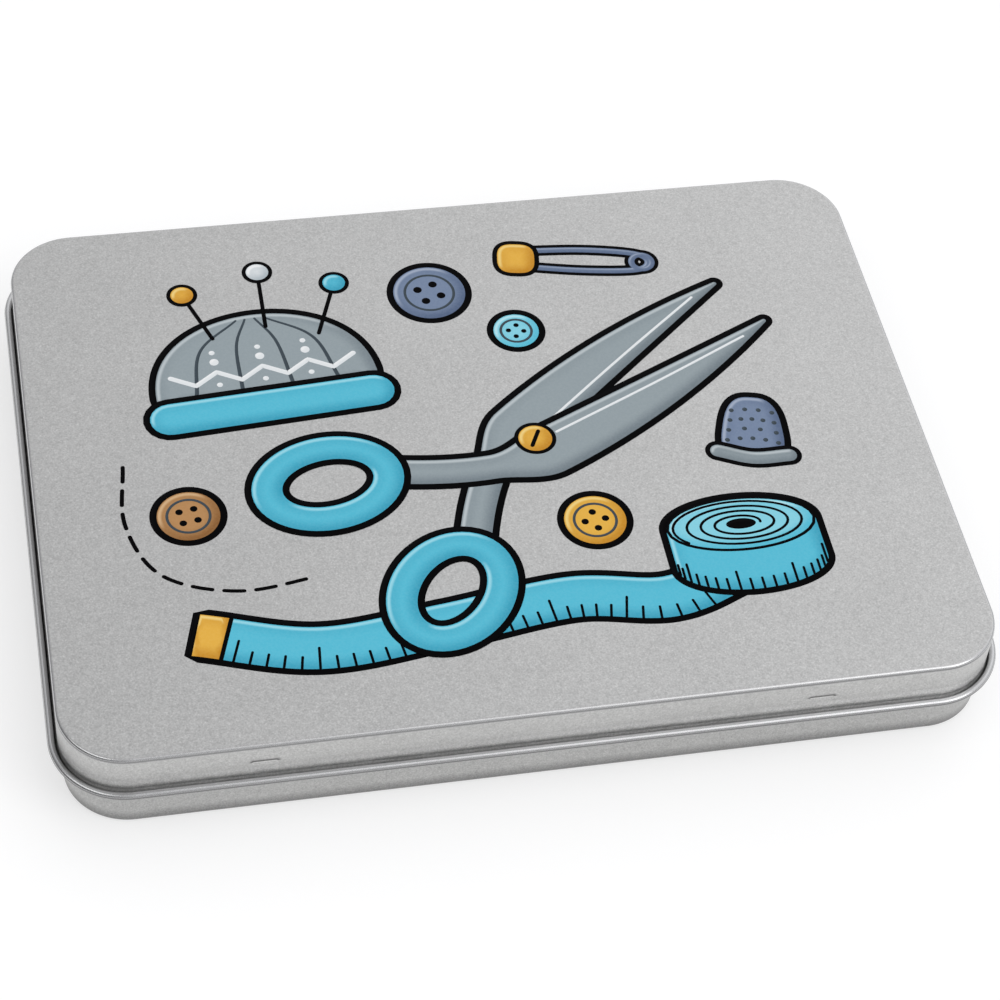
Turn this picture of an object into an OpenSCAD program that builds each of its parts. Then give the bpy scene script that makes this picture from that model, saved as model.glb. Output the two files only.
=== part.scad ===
// Flat hinged tin of drawn tinplate: a shallow tray, a lid that slips over its wall, and two
// wire hinge pins. Millimetres, +Z up, the origin under the middle of the tin on the table,
// the hinge at the back (+Y).

/* [Tin] */
// Width over the lid's side walls
lid_w = 190; // [150:0.5:240]
// Depth over the lid's front and back walls
lid_d = 145; // [110:0.5:190]
// Height of the closed tin
tin_h = 21.5; // [17:0.1:40]
// Outer corner radius of the lid, seen from above
corner_r = 13.75; // [12:0.05:20]
// Thickness of the tinplate
sheet_t = 0.25; // [0.2:0.01:0.32]

/* [Lid] */
// Drop from the lid's top to the middle of its rolled bead
bead_drop = 9.8; // [7:0.1:12.5]
// Outer radius of the rounding between the lid's top and its wall
top_edge_r = 0.7; // [0.4:0.05:1.5]
// Outer radius of the rolled bead
bead_r = 0.75; // [0.65:0.01:0.95]
// Distance of the bead's middle line outside the lid's wall
bead_out = 1.25; // [1.04:0.01:1.6]
// Angle at which the bead's cut edge ends, counted from straight out
bead_end = 175; // [120:1:185]

/* [Tray] */
// Gap between the tray's side walls and the lid's
side_gap = 0.3; // [0.2:0.01:0.6]
// Gap at the back wall
back_gap = 0.3; // [0.2:0.01:0.6]
// Least gap between the tray and the lid's front wall and dimples while the lid swings
swing_clearance = 0.07; // [0.05:0.01:0.4]
// Gap between the tray's rim and the inside of the lid's top
rim_gap = 0.2; // [0.1:0.01:0.5]
// Outer radius of the tray's rolled rim
rim_r = 0.75; // [0.6:0.01:1]
// Angle at which the rim's cut edge ends, counted from straight out
rim_end = 275; // [200:1:285]
// Outer radius of the rounding under the tray's wall
foot_r = 1.2; // [0.8:0.05:2]
// Width of the flat border that the tin stands on, with the rounding beside it
border_w = 7; // [4:0.1:8.5]
// Height by which the middle of the tray's floor is pressed up
floor_rise = 0.5; // [0.3:0.05:0.9]
// Outer radius of the two bends in the floor's step
step_r = 1; // [0.8:0.05:1.4]

/* [Snap] */
// Distance of each snap dimple from the lid's side wall
dimple_in = 39; // [26:0.5:60]
// Drop from the lid's top to the middle of the dimples
dimple_drop = 5.4; // [3.5:0.1:5.6]
// Length of a dimple on the outside
dimple_len = 5.5; // [4:0.1:8]
// Width of a dimple on the outside
dimple_w = 1.1; // [0.8:0.05:1.5]
// Depth of a dimple
dimple_depth = 0.2; // [0.1:0.01:0.22]

/* [Hinge] */
// Distance of each hinge from the lid's side wall
hinge_in = 39; // [39:0.5:60]
// Width of a hinge lug
lug_w = 9; // [6:0.1:14]
// Gap on each side of a lug, in the lid's bead
lug_side_gap = 0.35; // [0.2:0.01:0.6]
// Slit beside a lug, where it was cut out of the tray's wall
slit_w = 0.2; // [0.1:0.01:0.4]
// Inner radius of the bend where a lug leaves the wall
lug_bend_r = 0.4; // [0.3:0.01:0.6]
// Angle at which a lug's rolled end stops, counted from straight out
lug_end = 190; // [150:1:200]
// Room between a lug's roll and the edge of the lid's wall above it
notch_gap = 0.25; // [0.15:0.01:0.5]
// Radial clearance of the pin
pin_fit = 0.05; // [0.02:0.01:0.08]
// Length of the pin inside the bead on each side of its lug
pin_grip = 6; // [3:0.1:12]
// Chamfer on the ends of the pin
pin_chamfer = 0.1; // [0.05:0.01:0.2]

/* [Hidden] */

// Number of sides that stand for a circle
$fn = 96;
// Overshoot of a cut past the face it goes through
past = 1;

lid_color = "#B9B9B7";
tray_color = "#AEAFAD";
pin_color = "#8E9195";

dimple_x = lid_w / 2 - dimple_in;
hinge_x = lid_w / 2 - hinge_in;

// Middle of the bead, which is also the hinge's axis along the back
bead_z = tin_h - bead_drop;
hinge_y = lid_d / 2 + bead_out;
// Middle of the wide bend that leads from the lid's wall into the bead
flare_z = bead_z - bead_r + bead_out + sheet_t;
pin_r = bead_r - sheet_t - pin_fit;
notch_w = lug_w + 2 * lug_side_gap;
notch_top = bead_z + bead_r + notch_gap;

// As the lid opens, a point of its front wall that lies h above the hinge moves this far
// inward before it has risen past the tray's rim
rim_z = tin_h - sheet_t - rim_gap;
rim_h = rim_z - bead_z;
function swing_in(h) = (rim_h * rim_h - h * h) / (2 * (lid_d + bead_out - sheet_t));
dimple_h = bead_drop - dimple_drop;
front_gap = swing_clearance + max(swing_in(0), swing_in(dimple_h) + dimple_depth);

// The tray's outline, set inside the lid's by the sheet and the gaps
tray_w = lid_w - 2 * (sheet_t + side_gap);
tray_front = -lid_d / 2 + sheet_t + front_gap;
tray_back = lid_d / 2 - sheet_t - back_gap;
tray_d = tray_back - tray_front;
tray_y = (tray_back + tray_front) / 2;
tray_corner_r = corner_r - sheet_t - side_gap;

// The floor's step: two bends, one up and one back to level, that together climb floor_rise
step_mid_r = step_r - sheet_t / 2;
step_angle = acos(1 - floor_rise / (2 * step_mid_r));
step_run = 2 * step_mid_r * sin(step_angle);
floor_inset = border_w + step_run;

// The lug's flat stretch, from its bend at the wall to the bottom of its roll
lug_root_y = tray_back + lug_bend_r;
lug_bend_z = bead_z - bead_r - lug_bend_r;
// The opening left in the wall is as tall as the strip that the lug was bent and rolled from
lug_strip = PI / 180 * (90 * (lug_bend_r + sheet_t / 2) + (lug_end + 90) * (bead_r - sheet_t / 2))
    + hinge_y - lug_root_y;

// Radius of the rounded bar that gives a dimple its width and depth at the outer face
dimple_r = (dimple_w * dimple_w / 4 + dimple_depth * dimple_depth) / (2 * dimple_depth);

// Part of a flat ring of sheet, of outer radius r, between two angles. The wedge that cuts it
// has four turns, so that it stays outside the ring at any angle up to a full turn.
module bend(r, from, to) {
    reach = 2 * r;
    turn = (to - from) / 4;
    intersection() {
        difference() {
            circle(r);
            circle(r - sheet_t);
        }
        polygon([[0, 0], for (i = [0 : 4]) reach * [cos(from + i * turn), sin(from + i * turn)]]);
    }
}

// Rectangle between two x values and two y values
module span(x0, x1, y0, y1) {
    translate([x0, y0])
        square([x1 - x0, y1 - y0]);
}

// Flat rectangle with round corners, about the origin
module rounded_rect(w, d, r) {
    square([w - 2 * r, d], center = true);
    square([w, d - 2 * r], center = true);
    for (x = [-1, 1], y = [-1, 1])
        translate([x * (w / 2 - r), y * (d / 2 - r)])
            circle(r);
}

// Carries a profile round a rectangle with round corners. The profile's x runs outward from
// the outline and its y runs up.
module around(w, d, r) {
    for (i = [0 : 3]) {
        half = i % 2 == 0 ? w / 2 : d / 2;
        side = i % 2 == 0 ? d - 2 * r : w - 2 * r;
        rotate([0, 0, 90 * i])
            translate([half, side / 2, 0])
                rotate([90, 0, 0])
                    linear_extrude(side)
                        children();
        rotate([0, 0, 90 * i])
            translate([half - r, side / 2, 0])
                rotate_extrude(angle = 90)
                    translate([r, 0])
                        children();
    }
}

// Section of the lid's edge: top rounding, wall, wide bend outward and the rolled bead
module lid_section() {
    translate([-top_edge_r, tin_h - top_edge_r])
        bend(top_edge_r, 0, 90);
    span(-sheet_t, 0, flare_z, tin_h - top_edge_r);
    translate([bead_out, flare_z])
        bend(bead_out + sheet_t, 180, 270);
    translate([bead_out, bead_z])
        bend(bead_r, -90, bead_end);
}

// Section of the tray's edge: the step in the floor, the border, the foot rounding, the wall
// and the rim rolled inward
module tray_section() {
    translate([-border_w - step_run, 2 * step_mid_r * (1 - cos(step_angle)) + sheet_t - step_r])
        bend(step_r, 90 - step_angle, 90);
    translate([-border_w, step_r])
        bend(step_r, 270 - step_angle, 270);
    span(-border_w, -foot_r, 0, sheet_t);
    translate([-foot_r, foot_r])
        bend(foot_r, 270, 360);
    span(-sheet_t, 0, foot_r, rim_z - rim_r);
    translate([-rim_r, rim_z - rim_r])
        bend(rim_r, 0, rim_end);
}

// Section of a lug, with the hinge's axis at the origin: the bend out of the wall, the flat
// stretch under the pin, and the roll round it
module lug_section() {
    translate([lug_root_y - hinge_y, lug_bend_z - bead_z])
        bend(lug_bend_r + sheet_t, 90, 180);
    span(lug_root_y - hinge_y, 0, -bead_r, sheet_t - bead_r);
    bend(bead_r, -90, lug_end);
}

// Bar of radius r with round ends, along X. The dimple that it presses is len long at the
// wall's outer face.
module round_bar(r, len) {
    rotate([0, 90, 0])
        rotate_extrude()
            intersection() {
                union() {
                    square([2 * r, len - dimple_w], center = true);
                    for (s = [-1, 1])
                        translate([0, s * (len - dimple_w) / 2])
                            circle(r);
                }
                translate([0, -len])
                    square([2 * r, 2 * len]);
            }
}

// Places its children at the two snap dimples, on a front wall whose outer face is at y
module at_dimples(y) {
    for (s = [-1, 1])
        translate([s * dimple_x, y - dimple_r + dimple_depth, tin_h - dimple_drop])
            children();
}

// The sheet pushed inward behind the dimples of a front wall
module dimple_backs(y) {
    intersection() {
        at_dimples(y)
            round_bar(dimple_r + sheet_t, dimple_len);
        translate([-lid_w / 2, y + sheet_t / 2, tin_h - dimple_drop - dimple_w])
            cube([lid_w, sheet_t + dimple_depth, 2 * dimple_w]);
    }
}

// The hollow of the dimples on the outside of a front wall
module dimple_hollows(y) {
    at_dimples(y)
        round_bar(dimple_r, dimple_len);
}

// Places its children at one hinge, side -1 at the left and 1 at the right
module at_hinge(side) {
    translate([side * hinge_x, hinge_y, bead_z])
        children();
}

module lid() {
    color(lid_color)
        difference() {
            union() {
                around(lid_w, lid_d, corner_r)
                    lid_section();
                translate([0, 0, tin_h - sheet_t])
                    linear_extrude(sheet_t)
                        rounded_rect(lid_w - 2 * top_edge_r, lid_d - 2 * top_edge_r,
                            corner_r - top_edge_r);
                dimple_backs(-lid_d / 2);
            }
            dimple_hollows(-lid_d / 2);
            // The bead is cut away where the lugs grip the pins
            for (side = [-1, 1])
                translate([side * hinge_x - notch_w / 2, lid_d / 2 - sheet_t - past,
                        bead_z - bead_r - past])
                    cube([notch_w, bead_out + bead_r + sheet_t + 2 * past,
                        notch_top - bead_z + bead_r + past]);
        }
}

module lug() {
    translate([-lug_w / 2, 0, 0])
        rotate([90, 0, 90])
            linear_extrude(lug_w)
                lug_section();
}

module base_tray() {
    color(tray_color)
        difference() {
            union() {
                translate([0, tray_y, 0])
                    around(tray_w, tray_d, tray_corner_r)
                        tray_section();
                translate([0, tray_y, floor_rise])
                    linear_extrude(sheet_t)
                        rounded_rect(tray_w - 2 * floor_inset, tray_d - 2 * floor_inset,
                            tray_corner_r - floor_inset);
                dimple_backs(tray_front);
            }
            dimple_hollows(tray_front);
            // Each lug leaves an opening in the back wall, hidden behind the closed lid
            for (side = [-1, 1])
                translate([side * hinge_x - lug_w / 2 - slit_w, tray_back - sheet_t - past,
                        lug_bend_z])
                    cube([lug_w + 2 * slit_w, sheet_t + 2 * past, lug_strip]);
        }
    color(tray_color)
        for (side = [-1, 1])
            at_hinge(side)
                lug();
}

module hinge_pin(side) {
    len = notch_w + 2 * pin_grip;
    color(pin_color)
        at_hinge(side)
            rotate([0, 90, 0])
                rotate_extrude()
                    polygon([[0, -len / 2], [pin_r - pin_chamfer, -len / 2],
                        [pin_r, pin_chamfer - len / 2], [pin_r, len / 2 - pin_chamfer],
                        [pin_r - pin_chamfer, len / 2], [0, len / 2]]);
}

module hinge_pin_left() {
    hinge_pin(-1);
}

module hinge_pin_right() {
    hinge_pin(1);
}

base_tray();
lid();
hinge_pin_left();
hinge_pin_right();
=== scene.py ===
from math import acos, cos, degrees, pi, radians, sin

import bmesh
import bpy
import numpy as np
from mathutils import Matrix, Vector


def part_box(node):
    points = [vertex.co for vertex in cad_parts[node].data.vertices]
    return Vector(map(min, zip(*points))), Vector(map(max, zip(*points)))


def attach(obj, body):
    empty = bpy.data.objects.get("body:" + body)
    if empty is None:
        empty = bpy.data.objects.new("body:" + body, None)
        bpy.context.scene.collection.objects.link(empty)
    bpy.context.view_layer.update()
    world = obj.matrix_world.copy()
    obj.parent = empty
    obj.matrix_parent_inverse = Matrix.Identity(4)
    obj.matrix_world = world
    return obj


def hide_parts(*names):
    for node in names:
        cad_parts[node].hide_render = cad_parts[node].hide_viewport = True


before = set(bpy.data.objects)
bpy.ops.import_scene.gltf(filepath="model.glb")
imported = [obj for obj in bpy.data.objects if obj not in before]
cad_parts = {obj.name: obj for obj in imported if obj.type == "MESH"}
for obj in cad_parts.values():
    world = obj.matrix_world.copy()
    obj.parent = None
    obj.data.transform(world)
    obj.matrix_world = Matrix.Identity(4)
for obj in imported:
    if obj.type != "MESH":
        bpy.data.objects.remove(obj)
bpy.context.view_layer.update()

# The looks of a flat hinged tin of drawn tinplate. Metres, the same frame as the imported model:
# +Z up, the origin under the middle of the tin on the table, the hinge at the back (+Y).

MM = 0.001

# Where the camera stands: it looks down and a little to the right, from the front
VIEW_AZIMUTH = radians(-14.82)
VIEW_ELEVATION = radians(48.82)
VIEW_ROLL = radians(5.525)
VIEW_AIM = Vector((5.157, 1.141, 0)) * MM
VIEW_DISTANCE = 601.3 * MM
LENS = 99.125
SENSOR = 36

# Sizes of the drawn sheet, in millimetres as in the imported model
LID_LOW, LID_HIGH = (np.array(corner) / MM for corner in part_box("lid"))
TRAY_LOW, TRAY_HIGH = (np.array(corner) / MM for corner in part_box("base_tray"))
SHEET = 0.25
CORNER = 13.75
TOP_EDGE = 0.7
BEAD = 0.75
BEAD_OUT = 1.25
BEAD_END = 175
BEAD_Z = LID_LOW[2] + BEAD
TIN_TOP = LID_HIGH[2]
SIDE_GAP = 0.3
RIM = 0.75
RIM_END = 275
FOOT = 1.2
BORDER = 7
FLOOR_RISE = 0.5
STEP = 1

DIMPLE_IN = 39
DIMPLE_DROP = 5.4
DIMPLE_LEN = 5.5
DIMPLE_W = 1.1
DIMPLE_DEPTH = 0.2
HINGE_IN = 39
LUG_W = 9
LUG_SIDE_GAP = 0.35
SLIT = 0.2
LUG_BEND = 0.4
LUG_END = 190
NOTCH_GAP = 0.25

# The lid's wall stands inside its bead, and the tray's wall inside the lid's
LID_W = round(2 * (LID_HIGH[0] - BEAD_OUT - BEAD), 1)
LID_D = round(2 * (LID_HIGH[1] - BEAD_OUT - BEAD), 1)
FLARE_Z = BEAD_Z - BEAD + BEAD_OUT + SHEET
TRAY_W = LID_W - 2 * (SHEET + SIDE_GAP)
TRAY_BACK = LID_D / 2 - SHEET - SIDE_GAP
TRAY_FRONT = TRAY_LOW[1]
TRAY_CORNER = CORNER - SHEET - SIDE_GAP
RIM_Z = round(TRAY_HIGH[2], 2)

# The floor's step: two bends that together climb its rise
STEP_MID = STEP - SHEET / 2
STEP_TURN = degrees(acos(1 - FLOOR_RISE / (2 * STEP_MID)))
STEP_RUN = 2 * STEP_MID * sin(radians(STEP_TURN))

# The snap dimples and the hinges, measured from the lid's side walls
DIMPLE_X = LID_W / 2 - DIMPLE_IN
DIMPLE_Z = TIN_TOP - DIMPLE_DROP
HINGE_X = LID_W / 2 - HINGE_IN
HINGE_Y = LID_D / 2 + BEAD_OUT
NOTCH_W = LUG_W + 2 * LUG_SIDE_GAP
NOTCH_TOP = BEAD_Z + BEAD + NOTCH_GAP
LUG_ROOT_Y = TRAY_BACK + LUG_BEND
LUG_BEND_Z = BEAD_Z - BEAD - LUG_BEND
LUG_STRIP = (pi / 2 * (LUG_BEND + SHEET / 2) + radians(LUG_END + 90) * (BEAD - SHEET / 2)
             + HINGE_Y - LUG_ROOT_Y)
LUG_COLUMNS = np.linspace(-LUG_W / 2, LUG_W / 2, 7)
SLIT_EDGE = LUG_W / 2 + SLIT

# How finely the sheets are swept: steps of their bends and walls, fine rows and columns across
# a dimple, and rows under the lid's rounding and above its flare. Where a flat part meets a
# bend it has one more row or column this close to it, so that it is shaded flat
FLAT_RINGS = 6
TOP_STEPS = 10
FLARE_STEPS = 14
ROLL_STEPS = 36
STEP_STEPS = 6
FOOT_STEPS = 12
LUG_BEND_STEPS = 10
WALL_STEPS = 5
SIDE_STEPS = 9
CORNER_STEPS = 24
DIMPLE_ROWS = 27
DIMPLE_COLUMNS = 47
DIMPLE_MARGIN = 0.9
UNDER_TOP = 0.4
ABOVE_FLARE = np.linspace(0.3, 2.2, 5)
WALL_CLOSE = 0.06
SIDE_CLOSE = 0.3
TOP_CLOSE = 0.15
FLOOR_CLOSE = 0.3
BORDER_CLOSE = 0.1
LUG_CLOSE = 0.05

# The outward direction of a straight wall is this near to an axis, points this close are made
# one, and edges that turn by more than this angle are shaded sharp
STRAIGHT = 0.999
SAME_POINT = 1e-4
SHARP_ANGLE = radians(40)

# The snap dimples: how far their dent reaches as a share of their width, the painted shade along
# their upper lip and the painted highlight on their bottom, both by the distance from their
# middle
DENT_REACH = 0.62
LIP_SHADE_RISE = 0.3
LIP_SHADE_AT = 0.7
LIP_SHADE_WIDTH = 0.6
DENT_PAINTED_LIGHT = 0.35
DENT_LIGHT_WIDTH = 0.3

# Painted shade and painted light on the sheet: how much darker it is painted where its value is
# one, as painted shade, and below zero how much lighter, as painted light: the painted dark
# reflection line under the lid's rounding, the painted light on its low wall over the groove, its
# flare by the row and its bead by the angle, each of these two as places and values, and the
# height up to which the tray's wall is painted darker towards the floor, as painted shade
TOP_LINE_PAINTED_SHADE = 0.75
LOW_PAINTED_LIGHT = 0.8
LOW_PAINTED_LIGHT_TOP = 2.6
LOW_PAINTED_LIGHT_FADE = 1.6
FLARE_PAINTED_SHADING = ([0, 2, 4, 6], [-1.0, -1.1, -0.5, 0.3])
BEAD_PAINTED_SHADING = ([8, 38, 100, 125, 150], [0.9, 0, 0, 0.15, 0.5])
LOW_WALL = 3.9

# How much wear the bends have, which also paints a sheen on them, and over how many rows that
# comes on: the lid's from this row of its flare, the rim's from this many rows before it
LID_WEAR_FROM = 5
LID_WEAR_ROWS = 10
RIM_WEAR_BEFORE = 3
RIM_WEAR_ROWS = 8
FOOT_WEAR = 0.5
FOOT_WEAR_ROWS = 8
LUG_WEAR = 0.7

# The tinplate: how fine its grain, patches and clouds are, how far each and the painted sheen of
# its wear change its tone, its roughness, and how much of its red the green and the blue are,
# plain and more where it wears, a painted bluish sheen
GRAIN_SCALE = 3000
PATCH_SCALE = 900
CLOUD_SCALE = 45
PATCH_SHARE = 0.25
WORN_CALM = 0.85
GRAIN_TONE = 0.4
CLOUD_TONE = 0.05
SHEEN_TONE = 0.05
GLINT_TONE = 0.05
GLINTS_FROM = 0.66
PLAIN_ROUGH = 0.4
GRAIN_ROUGH = 0.25
WORN_SMOOTH = 0.16
GREEN_SHARE = (0.997, 0.004)
BLUE_SHARE = (0.985, 0.024)

# The hinge wire: how its fine lines are stretched along it, its tone and its roughness
WIRE_LINES = (60, 9000, 9000)
WIRE_TONE = 0.5
WIRE_ROUGH = 0.22

# The inks: how far in from the outline they run darker, how dark that is and how much less on
# the lit side, the strength of the light line, how far the grain shows, and their roughness
SHADE_WIDTH = 3.4
SHADE = 0.62
SHADE_LIT = 0.5
LIGHT_LINE = 0.8
INK_GRAIN = 0.06
INK_ROUGH = 0.42

# The floor: its rings in metres, and how it glows seen directly and in the metal
FLOOR_RINGS = (0, 0.4, 1.5, 4)
FLOOR_SIDES = 64
FLOOR_GLOW = 0.57
FLOOR_MIRROR_GLOW = 0.63

# The room: its light, how that changes to the right, to the back and upward, how much of it is
# left at the horizon, how much is lost far to the right, its least, and its faint blue
ROOM_LIGHT = 1.12
ROOM_SLOPE = 0.8
ROOM_BACK = 0.2
ROOM_FALL = 0.47
ROOM_HORIZON = 0.35
ROOM_RIGHT_LOSS = 0.4
ROOM_LEAST = 0.05
ROOM_GREEN = 1.005
ROOM_BLUE = 1.02

# The soft boxes: name, place and size in metres, and watts
LIGHTS = [("top_light", (0.65, -0.75, 1.25), (1.0, 1.3), 3.2),
          ("front_light", (0.85, -0.8, 0.9), (0.6, 0.6), 1.5),
          ("left_light", (-0.8, -0.35, 1.1), (1.1, 0.6), 2.8)]

# The print on the lid's top, in millimetres from the middle of the lid. Lines are drawn at half
# their width each way, and the painted light comes from the back left. A layer of ink rises by
# the step and sinks into the sheet by the sink for each of its levels, and the parts inside one
# outline are the part step apart. The numbers inside a motif's own function are the places and
# sizes of its drawing, before it is turned and moved, and the levels of its layers
INK_STEP = 0.008
INK_SINK = 0.002
PART_STEP = 0.15
LEAST_DEPTH = 0.1
OUTLINE = 1.5
FINE_LINE = 0.9
PAINTED_LIGHT = np.array([-0.6, 0.8])
SHEARS_AT = (11, -1)
SHEARS_TURN = 33
SHEARS_OPEN = 8
BLADE_LEN = 64
BLADE_HALF = 5.8
BLADE_LAP = 1.8
SHANK_LEN = 31
SHANK_DROP = 13
SHANK_HALF = 3.3
BOW_AT = (-44, -13)
BOW_SIZE = (13, 9.5)
BOW_HALF = 3.2
BOW_TURN = 14
CUSHION_AT = (-43, 20)
CUSHION_TURN = 4
CUSHION_HALF = 24
CUSHION_HIGH = 23
PINS = [(-9, -16, 15, "gold"), (3, 5, 17, "pale"), (14, 24, 16, "teal")]
ROLL_AT = (49, -30)
ROLL_SIZE = (16, 7)
ROLL_TURNS = 3.6
TAPE_WIDE = 10.5
TAPE_PATH = [(46, -41.5), (30, -47), (10, -44.5), (-16, -48), (-42, -50.5), (-66, -44)]
TICK_GAP = 3.2
TICK_HALF = 0.28
TAPE_TICKS = (0.5, 0.28)
ROLL_TICKS = (0.45, 0.26)
THIMBLE_AT = (58, -4)
THIMBLE_SIZE = (7.6, 9)
THIMBLE_TURN = -12
BUTTONS = [(-4, 45, 8, "slate", 20), (19, -25, 6.5, "gold", 50), (-64, -13, 6.5, "wood", 10),
           (13, 31, 5, "aqua", 35)]
PIN_AT = (32, 51)
PIN_LEN = 30
PIN_TURN = -9
STITCH = 4
STITCH_GAP = 2.4
STITCH_PATH = [(-76, 2), (-77, -14), (-71, -28), (-56, -34), (-38, -32)]

# Each ink: its material's name, its colour, its shade towards the outline and its light line
INKS = {
    "black": ("black_ink", "040405", "040405", "0A0A0C"),
    "steel": ("steel_ink", "98A3A8", "78838A", "C6CED1"),
    "teal": ("teal_ink", "5BC0D9", "3FA3BF", "A5E2EF"),
    "aqua": ("aqua_ink", "8AD5E6", "5BC0D9", "C4EEF6"),
    "slate": ("slate_ink", "7A8AA5", "5B6B88", "AEB9CC"),
    "gold": ("gold_ink", "E9B44C", "C98C2C", "F8DC8E"),
    "wood": ("wood_ink", "B98B5C", "8E6238", "DDB98E"),
    "white": ("white_ink", "F0F2F3", "E4E8EA", "F8F8F8"),
    "pale": ("pale_ink", "E4E8EA", "B4BEC4", "FAFAFA"),
    "shade": ("shade_ink", "4A545C", "40494F", "5A646C"),
}


class Wire:
    """A value on its way through a node tree. Arithmetic on it adds the Math nodes that do it."""

    def __init__(self, tree, socket=None):
        self.tree = tree
        self.socket = socket

    def node(self, kind, settings=None, inputs=None, output=0):
        """Adds a node of a kind: its settings come first, then each input's value or link."""
        made = self.tree.nodes.new("ShaderNode" + kind)
        for name, value in (settings or {}).items():
            setattr(made, name, value)
        for name, value in (inputs or {}).items():
            if isinstance(value, Wire):
                self.tree.links.new(value.socket, made.inputs[name])
            else:
                made.inputs[name].default_value = value
        return Wire(self.tree, made.outputs[output] if made.outputs else None)

    def math(self, operation, *values):
        """A Math node on these values."""
        return self.node("Math", {"operation": operation}, dict(enumerate(values)))

    def __add__(self, other):
        return self.math("ADD", self, other)

    def __sub__(self, other):
        return self.math("SUBTRACT", self, other)

    def __rsub__(self, other):
        return self.math("SUBTRACT", other, self)

    def __mul__(self, other):
        return self.math("MULTIPLY", self, other)

    __radd__ = __add__

    def above(self, edge, width):
        """0 below edge, 1 above edge + width, and a smooth rise between."""
        settings = {"interpolation_type": "SMOOTHSTEP"}
        return self.node("MapRange", settings, {0: self, 1: edge, 2: edge + width, 3: 0, 4: 1})

    def mix(self, low, high):
        """The colour low where this value is 0 and high where it is 1."""
        settings = {"data_type": "RGBA"}
        return self.node("Mix", settings, {0: self, 6: low, 7: high}, output=2)


def linear(hex_code):
    """A colour written as RRGGBB in linear light, with alpha 1."""
    channels = np.array([int(hex_code[i:i + 2], 16) for i in (0, 2, 4)]) / 255
    light = np.where(channels <= 0.04045, channels / 12.92, ((channels + 0.055) / 1.055) ** 2.4)
    return (*light, 1)


def new_material(name):
    """An empty material and the Wire that its nodes are added with."""
    made = bpy.data.materials.new(name)
    made.use_nodes = True
    made.node_tree.nodes.clear()
    return made, Wire(made.node_tree)


def finish_material(tree, shader):
    """Connects a shader to the material's output."""
    tree.node("OutputMaterial", None, {"Surface": shader})


def tinplate(name, brightness, painted_shading_strength):
    """Matt tinplate: a fine stone-like grain and faint clouds, smoother where the sheet was bent
    or rolled, and there painted brighter and bluer as a sheen. The painted shading strength says
    how much darker it is painted where its painted shading value is one, as painted shade, and
    below zero that value paints it brighter, as painted light."""
    made, tree = new_material(name)
    place = tree.node("TexCoord", output=3)
    wear_and_sheen = tree.node("Attribute", {"attribute_name": "wear_and_sheen"}, output="Fac")
    painted_shading = tree.node("Attribute", {"attribute_name": "painted_shading"}, output="Fac")
    grain = tree.node("TexNoise", None, {"Vector": place, "Scale": GRAIN_SCALE, "Detail": 1.5,
                                         "Roughness": 0.55})
    patches = tree.node("TexNoise", None, {"Vector": place, "Scale": PATCH_SCALE, "Detail": 1})
    clouds = tree.node("TexNoise", None, {"Vector": place, "Scale": CLOUD_SCALE, "Detail": 3})
    texture = ((grain - 0.5) + (patches - 0.5) * PATCH_SHARE) * (1 - wear_and_sheen * WORN_CALM)
    glints = grain.above(GLINTS_FROM, 0.1) * (1 - wear_and_sheen)
    # The wear paints the bends a little brighter and below a little bluer: a painted sheen
    tone = (brightness + texture * GRAIN_TONE + (clouds - 0.5) * CLOUD_TONE
            + wear_and_sheen * SHEEN_TONE + glints * GLINT_TONE)
    # Painted shade where the painted shading value is above zero, painted light where it is below
    tone = tone * (1 - painted_shading * painted_shading_strength)
    green, blue = (tone * (plain + wear_and_sheen * more) for plain, more in (GREEN_SHARE, BLUE_SHARE))
    silver = tree.node("CombineColor", None, {0: tone, 1: green, 2: blue})
    rough = PLAIN_ROUGH + texture * GRAIN_ROUGH - wear_and_sheen * WORN_SMOOTH
    relief = tree.node("Bump", None, {"Strength": 0.4, "Distance": 0.02 * MM,
                                      "Height": texture})
    shader = tree.node("BsdfPrincipled", None, {
        "Base Color": silver, "Metallic": 1.0, "Roughness": rough, "Normal": relief})
    finish_material(tree, shader)
    return made


def drawn_wire(name):
    """Bright drawn steel wire, with fine lines along its length."""
    made, tree = new_material(name)
    place = tree.node("TexCoord", output=3)
    stretched = tree.node("Mapping", None, {"Vector": place, "Scale": WIRE_LINES})
    lines = tree.node("TexNoise", None, {"Vector": stretched, "Scale": 1, "Detail": 2})
    tone = WIRE_TONE + lines * 0.2
    relief = tree.node("Bump", None, {"Strength": 0.3, "Distance": 0.01 * MM, "Height": lines})
    shader = tree.node("BsdfPrincipled", None, {
        "Base Color": tree.node("CombineColor", None, {0: tone, 1: tone, 2: tone * 1.02}),
        "Metallic": 1.0, "Roughness": WIRE_ROUGH + lines * 0.15, "Normal": relief})
    finish_material(tree, shader)
    return made


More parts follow.
